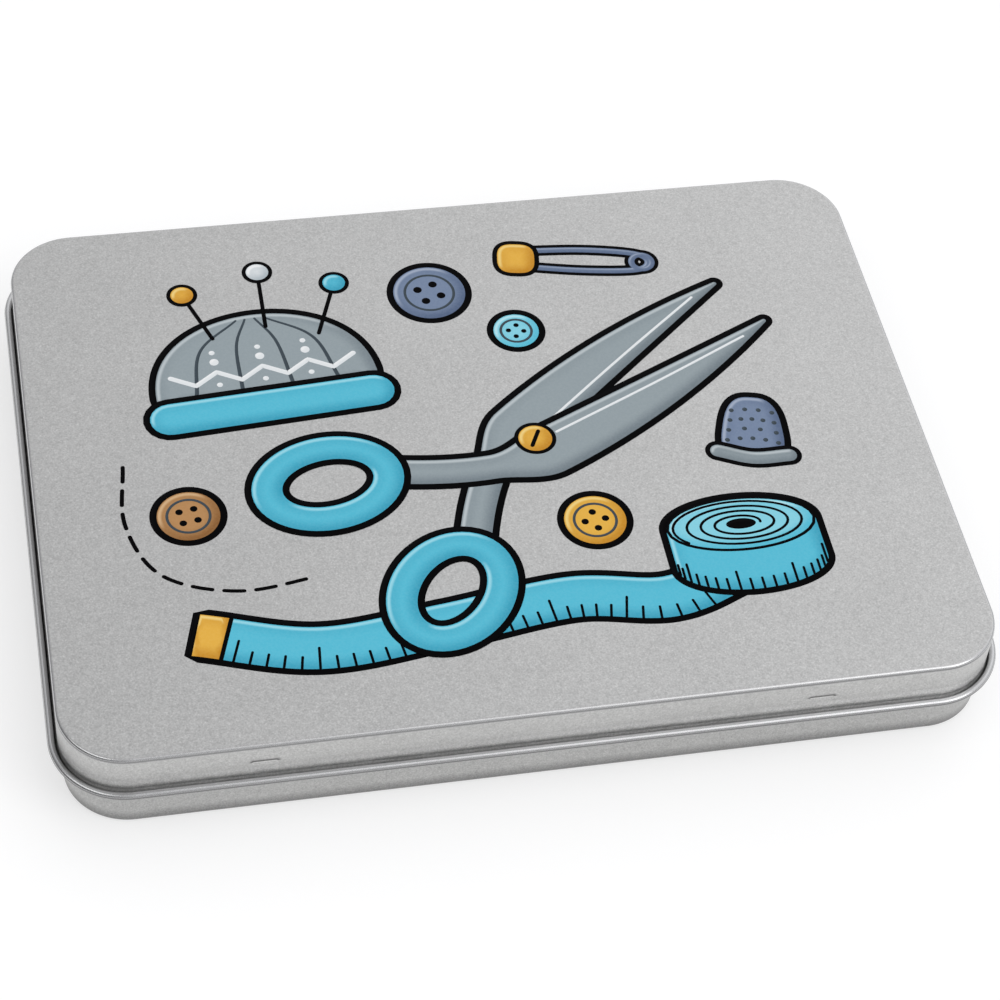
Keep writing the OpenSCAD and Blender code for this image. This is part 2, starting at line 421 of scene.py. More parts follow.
def ink(name, colour, shade, light):
    """Printed ink: it runs darker towards its outline, most on the side away from the painted
    light, has a thin pale line just inside the outline on the lit side, and lets the sheet's
    grain through a little."""
    made, tree = new_material(name)
    place = tree.node("TexCoord", output=3)
    depth = tree.node("Attribute", {"attribute_name": "depth"}, output="Fac")
    facing = tree.node("Attribute", {"attribute_name": "facing"}, output="Fac")
    grain = tree.node("TexNoise", None, {"Vector": place, "Scale": 2300, "Detail": 1.5})
    soft = 1 - depth.above(0.2, SHADE_WIDTH)
    dark = soft * (SHADE - facing * SHADE_LIT)
    lit = depth.above(0.1, 0.3) * (1 - depth.above(0.6, 0.6)) * facing.above(0.05, 0.5)
    body = dark.mix(linear(colour), linear(shade))
    body = (lit * LIGHT_LINE).mix(body, linear(light))
    body = (grain.above(0.35, 0.3) * INK_GRAIN).mix(body, linear(light))
    relief = tree.node("Bump", None, {"Strength": 0.25, "Distance": 0.01 * MM,
                                      "Height": grain})
    shader = tree.node("BsdfPrincipled", None, {
        "Base Color": body, "Roughness": INK_ROUGH + (grain - 0.5) * 0.2,
        "Specular IOR Level": 0.02, "Normal": relief})
    finish_material(tree, shader)
    return made


def arc(x, z, radius, start, stop, steps):
    """Points of an arc about (x, z): its angle runs evenly from start to stop degrees."""
    turn = np.radians(np.linspace(start, stop, steps + 1))
    return np.stack([x + radius * np.cos(turn), z + radius * np.sin(turn)], axis=-1)


def upright(x, start, stop, rows):
    """Points of a straight wall at x between two heights, at even steps and at the given rows,
    with one more close to each end so that the flat part is shaded flat."""
    low, high = sorted((start, stop))
    steps = np.linspace(low, high, WALL_STEPS + 1)[1:-1]
    heights = np.concatenate([steps, [low + WALL_CLOSE, high - WALL_CLOSE], rows])
    heights = np.unique(heights.round(4))
    heights = heights if stop > start else heights[::-1]
    return np.stack([np.full(len(heights), x), heights], axis=-1)


def side_places(half, marks):
    """Places of the columns along one straight side: even steps, one close to each end, and
    the marks."""
    steps = np.linspace(-half, half, SIDE_STEPS + 1)[1:-1]
    ends = [SIDE_CLOSE - half, half - SIDE_CLOSE]
    return np.unique(np.concatenate([steps, ends, marks]).round(4))


def outline(width, depth, radius, middle_y, front, back):
    """Points and outward directions round a rectangle with round corners, counter-clockwise
    seen from above. The front and the back also have columns at the places given, which are x
    values at the front and x values with their sign changed at the back."""
    a, b = width / 2 - radius, depth / 2 - radius
    places, outward = [], []
    sides = [side_places(b, []), -side_places(a, back), -side_places(b, []),
             side_places(a, front)]
    for turn, side in enumerate(sides):
        quarter = radians(90 * turn)
        out = np.array([cos(quarter), sin(quarter)]).round(9)
        reach = width / 2 if turn % 2 == 0 else depth / 2
        run = out * reach + np.abs(out[::-1]) * side[:, None]
        places.append(run)
        outward.append(np.repeat(out[None], len(side), axis=0))
        angles = quarter + np.linspace(0, pi / 2, CORNER_STEPS + 1)
        bend = np.stack([np.cos(angles), np.sin(angles)], axis=-1)
        centre = np.sign(bend[CORNER_STEPS // 2]) * (a, b)
        places.append(centre + radius * bend)
        outward.append(bend)
    return np.concatenate(places) + (0, middle_y), np.concatenate(outward)


def from_dimple(x, z):
    """How far places on the front wall lie from the middle line of the nearer snap dimple, as
    a share of the dimple's reach."""
    past_end = np.maximum(np.abs(np.abs(x) - DIMPLE_X) - (DIMPLE_LEN - DIMPLE_W) / 2, 0)
    return np.hypot(past_end, z - DIMPLE_Z) / (DENT_REACH * DIMPLE_W)


def dent(x, z):
    """Depth of the two snap dimples: a raised cosine of the distance from their middle."""
    return DIMPLE_DEPTH * (0.5 + 0.5 * np.cos(pi * np.minimum(from_dimple(x, z), 1)))


def painted_dimple_shading(x, z):
    """Painted shade along the upper lip of the snap dimples, a bell of the distance from their
    middle, above it only. Their bottom gets a painted highlight, a second bell."""
    away = from_dimple(x, z)
    upper = np.clip((z - DIMPLE_Z) / (LIP_SHADE_RISE * DIMPLE_W), 0, 1)
    lip_shade = upper * np.exp(-((away - LIP_SHADE_AT) / LIP_SHADE_WIDTH) ** 2)
    return lip_shade - DENT_PAINTED_LIGHT * np.exp(-(away / DENT_LIGHT_WIDTH) ** 2)


def carried_round(section, base, out, middle_y):
    """The middle of the sheet: the section's points, each an offset outward and a height, are
    carried round the outline. Before them the flat middle is filled by rings that grow evenly
    from one point. The front wall is pushed in at the snap dimples."""
    ring = base[None] + section[:, :1, None] * out[None]
    heights = np.repeat(section[:, 1:], len(base), axis=1)
    on_wall = (out[:, 1] < -STRAIGHT)[None] & (np.abs(heights - DIMPLE_Z) < DIMPLE_W)
    ring[..., 1] += np.where(on_wall, dent(ring[..., 0], heights), 0)
    shares = np.linspace(0, 1, FLAT_RINGS + 1)[:-1, None, None]
    centre = np.array([0, middle_y])
    flat = centre + shares * (ring[0] - centre)
    level = np.full(flat.shape[:2], section[0, 1])
    return np.concatenate([np.dstack([flat, level]), np.dstack([ring, heights])])


def grid_faces(rows, columns, wrap):
    """Corner numbers of the four-sided faces of a grid stored row by row, whose columns join up
    again where wrap is true."""
    row = np.arange(rows - 1)[:, None] * columns
    column = np.arange(columns if wrap else columns - 1)[None, :]
    onward = (column + 1) % columns
    corners = [row + column, row + columns + column, row + columns + onward, row + onward]
    return np.stack(np.broadcast_arrays(*corners), axis=-1)


def mesh_object(name, points, faces, values=None, finish=None):
    """A mesh object at the origin from arrays of points in millimetres and four-sided faces,
    with points that coincide made one, with a value for each point under each name, and with
    the number of each face's finish."""
    mesh = bpy.data.meshes.new(name)
    mesh.from_pydata(points * MM, [], faces.tolist())
    if finish is not None:
        mesh.polygons.foreach_set("material_index", finish)
    for key, value in (values or {}).items():
        mesh.attributes.new(key, "FLOAT", "POINT").data.foreach_set("value", value)
    shape = bmesh.new()
    shape.from_mesh(mesh)
    bmesh.ops.remove_doubles(shape, verts=shape.verts, dist=SAME_POINT * MM)
    loose = [v for v in shape.verts if not v.link_faces]
    bmesh.ops.delete(shape, geom=loose, context="VERTS")
    shape.to_mesh(mesh)
    shape.free()
    made = bpy.data.objects.new(name, mesh)
    bpy.context.scene.collection.objects.link(made)
    return made


def smooth(piece):
    """Shades a piece smooth but for its sharp edges."""
    piece.data.polygons.foreach_set("use_smooth", [True] * len(piece.data.polygons))
    piece.data.set_sharp_from_angle(angle=SHARP_ANGLE)


def thicken(piece, thickness):
    """Gives the middle of a sheet its thickness and makes that its mesh. The inner side takes
    the piece's second finish."""
    wall = piece.modifiers.new("sheet", "SOLIDIFY")
    wall.thickness = thickness * MM
    wall.offset = 0
    wall.use_even_offset = True
    wall.material_offset = 1
    bpy.context.view_layer.update()
    seen = piece.evaluated_get(bpy.context.evaluated_depsgraph_get())
    mesh = bpy.data.meshes.new_from_object(seen)
    piece.modifiers.clear()
    piece.data = mesh


def sheet_piece(name, grids, finishes, body, node):
    """One drawn piece from its grids, each with points, the faces that are kept, the wear and
    painted sheen of its points and their painted shade and light, in place of its plain solid.
    Its finishes are the one outside and the one inside."""
    points, faces, wear_and_sheen, painted_shading, count = [], [], [], [], 0
    for grid, kept, sheen_and_wear, painted_tone in grids:
        points.append(grid.reshape(-1, 3))
        faces.append(kept + count)
        wear_and_sheen.append(np.broadcast_to(sheen_and_wear, grid.shape[:2]).ravel())
        painted_shading.append(np.broadcast_to(painted_tone, grid.shape[:2]).ravel())
        count += grid.shape[0] * grid.shape[1]
    values = {"wear_and_sheen": np.concatenate(wear_and_sheen), "painted_shading": np.concatenate(painted_shading)}
    piece = mesh_object(name, np.concatenate(points), np.concatenate(faces), values)
    for finish in finishes:
        piece.data.materials.append(finish)
    thicken(piece, SHEET)
    smooth(piece)
    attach(piece, body)
    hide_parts(node)


def within(values, low, high):
    """True for the gaps between neighbouring values that lie inside a range."""
    middle = (values[:-1] + values[1:]) / 2
    return (middle > low) & (middle < high)


def make_lid(finishes):
    """The lid: flat top, edge rounding, wall, wide bend and rolled bead, with the bead cut away
    where the tray's lugs hold the hinge wires."""
    wall_rows = np.concatenate([dimple_rows(), FLARE_Z + ABOVE_FLARE,
                                [NOTCH_TOP, TIN_TOP - TOP_EDGE - UNDER_TOP]])
    section = np.concatenate([
        [(-TOP_EDGE - TOP_CLOSE, TIN_TOP - SHEET / 2)],
        arc(-TOP_EDGE, TIN_TOP - TOP_EDGE, TOP_EDGE - SHEET / 2, 90, 0, TOP_STEPS),
        upright(-SHEET / 2, TIN_TOP - TOP_EDGE, FLARE_Z, wall_rows),
        arc(BEAD_OUT, FLARE_Z, BEAD_OUT + SHEET / 2, 180, 270, FLARE_STEPS)[:-1],
        arc(BEAD_OUT, BEAD_Z, BEAD - SHEET / 2, -90, BEAD_END, ROLL_STEPS)])
    edges = [side * HINGE_X + reach for side in (-1, 1) for reach in (-NOTCH_W / 2, NOTCH_W / 2)]
    base, out = outline(LID_W, LID_D, CORNER, 0, dimple_columns(), -np.array(edges))
    points = carried_round(section, base, out, 0)

    heights = points[:, 0, 2]
    rows_cut = within(heights, 0, NOTCH_TOP)
    columns_cut = back_columns(base, out, NOTCH_W / 2)
    faces = grid_faces(*points.shape[:2], wrap=True)
    kept = faces[~(rows_cut[:, None] & columns_cut[None])]

    rounding = FLAT_RINGS + 1
    wall = rounding + TOP_STEPS + 1
    bead = len(heights) - ROLL_STEPS - 1
    flare = bead - FLARE_STEPS
    row = np.arange(len(heights))
    wear_and_sheen = np.clip((row - flare - LID_WEAR_FROM) / LID_WEAR_ROWS, 0, 1)
    wear_and_sheen[rounding:wall] = np.clip(np.linspace(0, 3, TOP_STEPS + 1), 0, 1)
    wear_and_sheen[wall] = 1
    # Painted shade and light by row: a painted dark reflection line under the top's rounding,
    # painted light on the low wall and the upper flare, painted shade on the lower flare deep in
    # the groove, and on the bead painted shade on its underside and its inner top
    painted_tone = np.zeros(len(heights))
    painted_tone[wall - 3:wall + 1] = TOP_LINE_PAINTED_SHADE
    low = np.clip((FLARE_Z + LOW_PAINTED_LIGHT_TOP - heights) / LOW_PAINTED_LIGHT_FADE, 0, 1)
    painted_tone[wall:flare] -= LOW_PAINTED_LIGHT * low[wall:flare]
    painted_tone[flare:bead] = np.interp(row[flare:bead] - flare, *FLARE_PAINTED_SHADING)
    painted_tone[bead:] = np.interp(np.linspace(-90, BEAD_END, ROLL_STEPS + 1), *BEAD_PAINTED_SHADING)
    # Painted shade on the dimples' upper lip and a painted highlight on their bottom
    dimple_shading = painted_dimple_shading(points[..., 0], points[..., 2]) * (out[:, 1] < -STRAIGHT)
    grid = (points, kept, wear_and_sheen[:, None], painted_tone[:, None] + dimple_shading)
    sheet_piece("lid_shell", [grid], finishes, "lid", "lid")


def dimple_rows():
    """The heights of fine rows across the snap dimples."""
    return DIMPLE_Z + DIMPLE_W * np.linspace(-1, 1, DIMPLE_ROWS)


def dimple_columns():
    """The x values of fine columns across both snap dimples."""
    across = np.linspace(-1, 1, DIMPLE_COLUMNS) * (DIMPLE_LEN / 2 + DIMPLE_MARGIN)
    return np.concatenate([across - DIMPLE_X, across + DIMPLE_X])


def back_columns(base, out, reach):
    """True for the gaps between outline columns that lie within reach of a hinge's middle on
    the back wall."""
    onward = np.roll(base, -1, axis=0)
    middle = (base + onward) / 2
    return (out[:, 1] > STRAIGHT) & (np.abs(np.abs(middle[:, 0]) - HINGE_X) < reach)


def make_tray(finishes):
    """The tray: floor with its step, foot rounding, wall and rolled rim, and the two lugs that
    were cut out of the back wall and rolled round the hinge wires."""
    wall_rows = np.concatenate([dimple_rows(), [LUG_BEND_Z, LUG_BEND_Z + LUG_STRIP, LOW_WALL]])
    section = np.concatenate([
        [(-BORDER - STEP_RUN - FLOOR_CLOSE, FLOOR_RISE + SHEET / 2)],
        arc(-BORDER - STEP_RUN, FLOOR_RISE + SHEET - STEP, STEP_MID, 90, 90 - STEP_TURN,
            STEP_STEPS),
        arc(-BORDER, STEP, STEP_MID, 270 - STEP_TURN, 270, STEP_STEPS)[1:],
        [(BORDER_CLOSE - BORDER, SHEET / 2), (-FOOT - BORDER_CLOSE, SHEET / 2)],
        arc(-FOOT, FOOT, FOOT - SHEET / 2, 270, 360, FOOT_STEPS),
        upright(-SHEET / 2, FOOT, RIM_Z - RIM, wall_rows),
        arc(-RIM, RIM_Z - RIM, RIM - SHEET / 2, 0, RIM_END, ROLL_STEPS)])
    edges = np.concatenate([side * HINGE_X + np.append(LUG_COLUMNS, (-SLIT_EDGE, SLIT_EDGE))
                            for side in (-1, 1)])
    middle_y = (TRAY_BACK + TRAY_FRONT) / 2
    base, out = outline(TRAY_W, TRAY_BACK - TRAY_FRONT, TRAY_CORNER, middle_y,
                        dimple_columns(), -edges)
    points = carried_round(section, base, out, middle_y)

    heights = points[:, 0, 2]
    rows_cut = within(heights, LUG_BEND_Z, LUG_BEND_Z + LUG_STRIP)
    columns_cut = back_columns(base, out, SLIT_EDGE)
    faces = grid_faces(*points.shape[:2], wrap=True)[..., ::-1]
    kept = faces[~(rows_cut[:, None] & columns_cut[None])]

    rim = len(heights) - ROLL_STEPS - 1
    foot_middle = FLAT_RINGS + 2 * STEP_STEPS + 4 + FOOT_STEPS // 2
    row = np.arange(len(heights))
    rolled = np.clip((row - rim + RIM_WEAR_BEFORE) / RIM_WEAR_ROWS, 0, 1)
    foot = np.clip(1 - np.abs(row - foot_middle) / FOOT_WEAR_ROWS, 0, 1) * FOOT_WEAR
    # Painted shade: the tray's wall is painted darker towards the floor, up to the low wall's
    # height
    low = np.clip(1 - heights / LOW_WALL, 0, 1)
    grids = [(points, kept, np.maximum(rolled, foot)[:, None], low[:, None])]

    roll = np.concatenate([
        arc(LUG_ROOT_Y - HINGE_Y, LUG_BEND_Z - BEAD_Z, LUG_BEND + SHEET / 2, 180, 90,
            LUG_BEND_STEPS),
        [(-LUG_CLOSE, SHEET / 2 - BEAD)],
        arc(0, 0, BEAD - SHEET / 2, -90, LUG_END, ROLL_STEPS)])
    for side in (-1, 1):
        x = side * HINGE_X + LUG_COLUMNS
        lug = np.empty((len(roll), len(x), 3))
        lug[..., 0] = x
        lug[..., 1] = HINGE_Y + roll[:, :1]
        lug[..., 2] = BEAD_Z + roll[:, 1:]
        lug_faces = grid_faces(*lug.shape[:2], wrap=False).reshape(-1, 4)
        grids.append((lug, lug_faces, LUG_WEAR, 0))
    sheet_piece("tray_shell", grids, finishes, "tray", "base_tray")


def oval(wide, high, power=2, count=60):
    """A shape, which is an outline counter-clockwise and as many points along its middle. Here
    it is an oval: the powers of x over half its width and of y over half its height add up to
    one."""
    turn = np.linspace(0, 2 * pi, count, endpoint=False)
    ray = np.stack([np.cos(turn), np.sin(turn)], axis=-1)
    reach = (np.abs(ray / (wide, high)) ** power).sum(axis=1) ** (-1 / power)
    return ray * reach[:, None], np.zeros((count, 2))


def strip(path, half, cap=9):
    """A band: the path moved to both sides by its half width, with a half circle of cap points
    round each end."""
    path = np.asarray(path, float)
    half = np.broadcast_to(half, len(path))[:, None]
    run = np.gradient(path, axis=0)
    run /= np.linalg.norm(run, axis=1, keepdims=True)
    side = run[:, ::-1] * (-1, 1)
    swing = np.linspace(-pi / 2, pi / 2, cap + 2)[1:-1, None]
    front = path[-1] + half[-1] * (np.cos(swing) * run[-1] + np.sin(swing) * side[-1])
    rear = path[0] - half[0] * (np.cos(swing) * run[0] + np.sin(swing) * side[0])
    edge = np.concatenate([path - side * half, front, (path + side * half)[::-1], rear])
    middle = np.concatenate([path, np.repeat(path[-1:], cap, axis=0), path[::-1],
                             np.repeat(path[:1], cap, axis=0)])
    return edge, middle


def hoop(wide, high, half):
    """Two shapes that make an oval ring: from its outer and from its inner outline to the oval
    between them."""
    middle = oval(wide, high)[0]
    outer = oval(wide + half, high + half)[0]
    inner = oval(wide - half, high - half)[0]
    return (outer, middle), (inner[::-1], middle[::-1])


def curve(points, count=40):
    """A smooth path through a few points: a Catmull-Rom curve, which passes each point along
    the line between its neighbours."""
    p = np.asarray(points, float)
    p = np.concatenate([[2 * p[0] - p[1]], p, [2 * p[-1] - p[-2]]])
    place = np.linspace(0, len(points) - 1, count)
    i = np.minimum(place.astype(int), len(points) - 2)
    t = (place - i)[:, None]
    a, b, c, d = p[i], p[i + 1], p[i + 2], p[i + 3]
    return b + t * (c - a + t * (2 * a - 5 * b + 4 * c - d + t * (3 * b - a - 3 * c + d))) / 2


def along(path, places):
    """Points and sideways directions at distances along a path."""
    step = np.linalg.norm(np.diff(path, axis=0), axis=1)
    length = np.concatenate([[0], np.cumsum(step)])
    point = np.stack([np.interp(places, length, axis) for axis in path.T], axis=-1)
    run = np.gradient(path, axis=0)
    run = np.stack([np.interp(places, length, axis) for axis in run.T], axis=-1)
    run /= np.linalg.norm(run, axis=1, keepdims=True)
    return point, run[:, ::-1] * (-1, 1)


def straight(start, end, half):
    """A straight line with round ends."""
    return strip(np.linspace(start, end, 4), half, 5)


def outward_from(edge):
    """Outward directions along an outline: the run from the point before to the point after,
    turned clockwise by a right angle."""
    run = np.roll(edge, -1, axis=0) - np.roll(edge, 1, axis=0)
    run /= np.linalg.norm(run, axis=1, keepdims=True)
    return run[:, ::-1] * (1, -1)


def outlined(parts, level, line=OUTLINE):
    """Layers, each an ink, a level and a shape, of several parts inside one outline. A part is
    an ink and its shapes: they are grown by the line's width in black, and their ink lies over
    them. Parts differ a little in height, so that none lies in the plane of another."""
    layers = []
    for number, (colour, *shapes) in enumerate(parts):
        height = level + PART_STEP * number
        for edge, middle in shapes:
            layers.append(("black", height, (edge + line * outward_from(edge), middle)))
            layers.append((colour, height + 1, (edge, middle)))
    return layers


def moved(layers, x, y, turn=0):
    """Layers turned by an angle in degrees and then moved."""
    c, s = cos(radians(turn)), sin(radians(turn))
    spin = np.array([[c, s], [-s, c]])
    return [(colour, level, tuple(points @ spin + (x, y) for points in shape))
            for colour, level, shape in layers]


def mirrored(layers):
    """Layers turned over about the x axis, with their outlines still counter-clockwise."""
    return [(colour, level, tuple(points[::-1] * (1, -1) for points in shape))
            for colour, level, shape in layers]


def print_piece(name, layers, inks):
    """One motif on the lid's top. Each layer is a closed film of ink from a hair inside the
    sheet up to its level: rows of points run from the shape's middle below to its outline, up,
    and back to its middle. The film's underside differs with its level too, so that no two
    layers share an edge. Every point knows how deep inside the outline it lies and how far
    that outline faces the painted light."""
    used = sorted({colour for colour, _, _ in layers})
    points, faces, finish, depth, facing, count = [], [], [], [], [], 0
    for colour, level, (edge, middle) in layers:
        outward = outward_from(edge)
        shares = np.array([1, 0, 0, 0.5, 1])
        rows = edge + shares[:, None, None] * (middle - edge)
        height = np.full(rows.shape[:2], TIN_TOP - level * INK_SINK)
        height[2:] = TIN_TOP + level * INK_STEP
        points.append(np.dstack([rows, height]).reshape(-1, 3))
        inward = np.maximum(((edge - middle) * outward).sum(axis=1), LEAST_DEPTH)
        depth.append(np.outer(shares, inward).ravel())
        facing.append(np.outer(1 - shares, outward @ PAINTED_LIGHT).ravel())
        sides = grid_faces(len(shares), len(edge), wrap=True).reshape(-1, 4)[:, ::-1]
        faces.append(sides + count)
        finish.append(np.full(len(sides), used.index(colour)))
        count += height.size
    values = {"depth": np.concatenate(depth), "facing": np.concatenate(facing)}
    piece = mesh_object(name, np.concatenate(points), np.concatenate(faces), values,
                        np.concatenate(finish))
    for colour in used:
        piece.data.materials.append(inks[colour])
    smooth(piece)
    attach(piece, "lid")


def shears():
    """Tailor's shears, half open. Each half is one band: a blade with a straight cutting edge
    and a back that curves down to it, and a shank that crosses to the other side and bends
    outward to an oval bow."""
    x = np.linspace(-SHANK_LEN, BLADE_LEN, 100)
    behind = np.clip(-x / SHANK_LEN, 0, 1)
    blade_half = 0.5 + BLADE_HALF * (1 - np.clip(x / BLADE_LEN, 0, 1) ** 1.9)
    path = np.stack([x, blade_half - BLADE_LAP - SHANK_DROP * behind ** 1.7], axis=-1)
    narrow = np.clip(behind * 2.5, 0, 1)
    narrow = narrow ** 2 * (3 - 2 * narrow)
    half = blade_half + (SHANK_HALF - blade_half) * narrow
    bevel = strip(curve([(5, 0.9), (BLADE_LEN / 2, 0.7), (BLADE_LEN - 7, 0)]), 0.3)
    layers = []
    for order, side in enumerate((1, -1)):
        level = 5 + 3 * order
        one = outlined([("steel", strip(path, half))], level)
        one.append(("white", level + 2, bevel))
        bow = outlined([("teal", *hoop(*BOW_SIZE, BOW_HALF))], 11)
        one += moved(bow, *BOW_AT, BOW_TURN)
        layers += moved(one if side > 0 else mirrored(one), 0, 0, side * SHEARS_OPEN)
    layers += outlined([("gold", oval(3.6, 3.6))], 11, FINE_LINE)
    layers.append(("black", 13, straight((-1.9, -1.1), (1.9, 1.1), 0.45)))
    return moved(layers, *SHEARS_AT, SHEARS_TURN)


def pincushion():
    """A domed pincushion with sewn segments and a white border, on a band, and three pins."""
    turn = np.linspace(0, pi, 60)
    crown = np.stack([CUSHION_HALF * np.cos(turn), CUSHION_HIGH * np.sin(turn) ** 0.85], axis=-1)
    base = np.stack([np.linspace(-CUSHION_HALF, CUSHION_HALF, 30)[1:-1],
                     -1.5 * np.sin(np.linspace(0, pi, 30)[1:-1])], axis=-1)
    edge = np.concatenate([crown, base])
    middle = np.stack([np.clip(edge[:, 0], -9, 9), np.full(len(edge), 9.0)], axis=-1)
    layers = outlined([("steel", (edge, middle))], 1)
    for lean in (-15.5, -5.5, 5.5, 15.5):
        seam = curve([(lean * 0.2, CUSHION_HIGH - 1.2), (lean * 0.8, 14), (lean, 1)])
        layers.append(("shade", 3, strip(seam, np.linspace(0.25, 0.45, 40))))
    x = np.linspace(-20, 20, 161)
    wave = np.abs((x / 5) % 2 - 1) * 3.2
    layers.append(("white", 4, strip(np.stack([x, 4.2 + wave], axis=-1), 0.6)))
    for place in (-10, 0, 10):
        layers += [("white", 4, placed_oval(place, 10.4, 1.0)),
                   ("white", 4, placed_oval(place, 13.2, 0.65)),
                   ("white", 4, placed_oval(place, 3.6, 0.65))]
    layers += outlined([("teal", strip(np.linspace((-22, -4.3), (22, -4.3), 20), 4.4))], 5)
    for place, lean, length, head in PINS:
        foot = np.array([place, CUSHION_HIGH * (1 - (place / CUSHION_HALF) ** 2) ** 0.5 - 4])
        tip = foot + length * np.array([sin(radians(lean)), cos(radians(lean))])
        layers.append(("black", 7, straight(foot, tip, 0.45)))
        layers += moved(outlined([(head, oval(2.5, 2.5))], 8, FINE_LINE), *tip)
    return moved(layers, *CUSHION_AT, CUSHION_TURN)


def placed_oval(x, y, radius):
    """A small dot at a place."""
    edge, middle = oval(radius, radius, 2, 20)
    return edge + (x, y), middle + (x, y)


def tape_measure():
    """A rolled tape seen from above its edge, with its end drawn out to one side. It has marks,
    of which every fifth is long, no numbers, and a metal end."""
    wide, high = ROLL_SIZE
    path = curve(TAPE_PATH, 90)
    layers = outlined([("teal", strip(path, TAPE_WIDE / 2, 0))], 1)
    layers += outlined([("gold", strip(path[-5:], TAPE_WIDE / 2, 0))], 3, FINE_LINE)
    length = np.linalg.norm(np.diff(path, axis=0), axis=1).sum()
    places = np.arange(10, length - 7, TICK_GAP)
    for number, (point, side) in enumerate(zip(*along(path, places))):
        foot = point + side * (TAPE_WIDE / 2)
        reach = TAPE_WIDE * TAPE_TICKS[number % 5 != 0]
        layers.append(("black", 3, straight(foot, foot - side * reach, TICK_HALF)))
    turn = np.linspace(0, pi, 40)
    top = np.stack([wide * np.cos(turn), high * np.sin(turn)], axis=-1)
    edge = np.concatenate([top, -top - (0, TAPE_WIDE)])
    middle = np.stack([np.clip(edge[:, 0], -9, 9), np.full(len(edge), -TAPE_WIDE / 2)], axis=-1)
    roll = outlined([("teal", (edge, middle))], 5)
    roll += outlined([("aqua", oval(wide - 0.6, high - 0.4))], 7, 0.7)
    winding = np.linspace(0, 2 * pi * ROLL_TURNS, 160)
    reach = np.linspace(0.26, 0.93, 160)
    spiral = np.stack([wide * np.cos(winding), high * np.sin(winding)], axis=-1) * reach[:, None]
    roll.append(("black", 9, strip(spiral, 0.3)))
    roll.append(("black", 9, oval(wide * 0.2, high * 0.2)))
    for number, angle in enumerate(np.radians(np.arange(192, 350, 9))):
        foot = np.array([wide * cos(angle), high * sin(angle) - TAPE_WIDE])
        reach = TAPE_WIDE * ROLL_TICKS[number % 5 != 2]
        roll.append(("black", 7, straight(foot, foot + (0, reach), TICK_HALF)))
    return layers + moved(roll, *ROLL_AT)


def thimble():
    """A thimble: a tapered crown with rows of pits, and a rolled rim."""
    edge, middle = oval(*THIMBLE_SIZE, 3)
    edge = edge * np.stack([1 - 0.017 * (edge[:, 1] + 9), np.ones(len(edge))], axis=-1)
    layers = outlined([("slate", (edge, middle))], 1)
    for row, height in enumerate(np.arange(-3, 7, 2.8)):
        reach = 5.1 - 0.13 * height
        for place in np.linspace(-reach, reach, 5 - row % 2):
            layers.append(("shade", 3, placed_oval(place, height - 0.03 * place ** 2, 0.55)))
    layers += outlined([("steel", strip(curve([(-7.6, -7.2), (0, -8.6), (7.6, -7.2)]), 1.7))], 3,
                       FINE_LINE + 0.2)
    return moved(layers, *THIMBLE_AT, THIMBLE_TURN)


def button(x, y, radius, colour, turn):
    """A round button with a raised edge and four holes."""
    layers = outlined([(colour, oval(radius, radius))], 1)
    layers += [("shade", 3, shape) for shape in hoop(radius * 0.68, radius * 0.68, 0.3)]
    reach = radius * 0.24
    for side in (-1, 1):
        for end in (-1, 1):
            layers.append(("black", 3, placed_oval(side * reach, end * reach, radius * 0.12)))
    return moved(layers, x, y, turn)


def safety_pin():
    """A closed safety pin: two arms, the coil between them and the cap over the point."""
    end = PIN_LEN / 2
    arms = curve([(-end, 2.4), (0, 3.4), (end - 3, 2.6), (end, 0), (end - 3, -2.6), (0, -3.2),
                  (-end, -2.4)], 70)
    coil = [(edge + (end - 1.5, 0), middle + (end - 1.5, 0))
            for edge, middle in hoop(2.3, 2.3, 0.7)]
    layers = outlined([("slate", strip(arms, 0.8)), ("slate", *coil)], 1, FINE_LINE)
    edge, middle = oval(4.2, 4.6, 3)
    layers += outlined([("gold", (edge - (end, 0), middle - (end, 0)))], 3, FINE_LINE + 0.2)
    return moved(layers, *PIN_AT, PIN_TURN)


def running_stitch(points):
    """A row of even stitches along a smooth path."""
    path = curve(points, 160)
    length = np.linalg.norm(np.diff(path, axis=0), axis=1).sum()
    starts = np.arange(0, length - STITCH, STITCH + STITCH_GAP)
    return [("black", 1, strip(along(path, np.linspace(start, start + STITCH, 8))[0], 0.45, 5))
            for start in starts]


def make_print():
    """The lid's print: sewing things in ink, each motif a piece of its own."""
    inks = {name: ink(*colours) for name, colours in INKS.items()}
    print_piece("print_shears", shears(), inks)
    print_piece("print_pincushion", pincushion(), inks)
    print_piece("print_tape_measure", tape_measure(), inks)
    print_piece("print_thimble", thimble(), inks)
    print_piece("print_safety_pin", safety_pin(), inks)
    for number, shape in enumerate(BUTTONS, 1):
        print_piece(f"print_button_{number}", button(*shape), inks)
    print_piece("print_stitches", running_stitch(STITCH_PATH), inks)


def make_camera():
    """The camera: back along its line of sight from the point it aims at, and rolled."""
    across = cos(VIEW_ELEVATION)
    forward = Vector((-sin(VIEW_AZIMUTH) * across, cos(VIEW_AZIMUTH) * across,
                      -sin(VIEW_ELEVATION)))
    level = forward.cross(Vector((0, 0, 1))).normalized()
    above = level.cross(forward)
    right = level * cos(VIEW_ROLL) + above * sin(VIEW_ROLL)
    up = right.cross(forward)
    camera = bpy.data.objects.new("camera", bpy.data.cameras.new("camera"))
    bpy.context.scene.collection.objects.link(camera)
    turn = Matrix((right, up, -forward)).transposed()
    camera.matrix_world = Matrix.Translation(VIEW_AIM - forward * VIEW_DISTANCE) @ turn.to_4x4()
    camera.data.lens = LENS
    camera.data.sensor_width = SENSOR
    camera.data.clip_start = 0.01
    camera.data.clip_end = 20
    bpy.context.scene.camera = camera


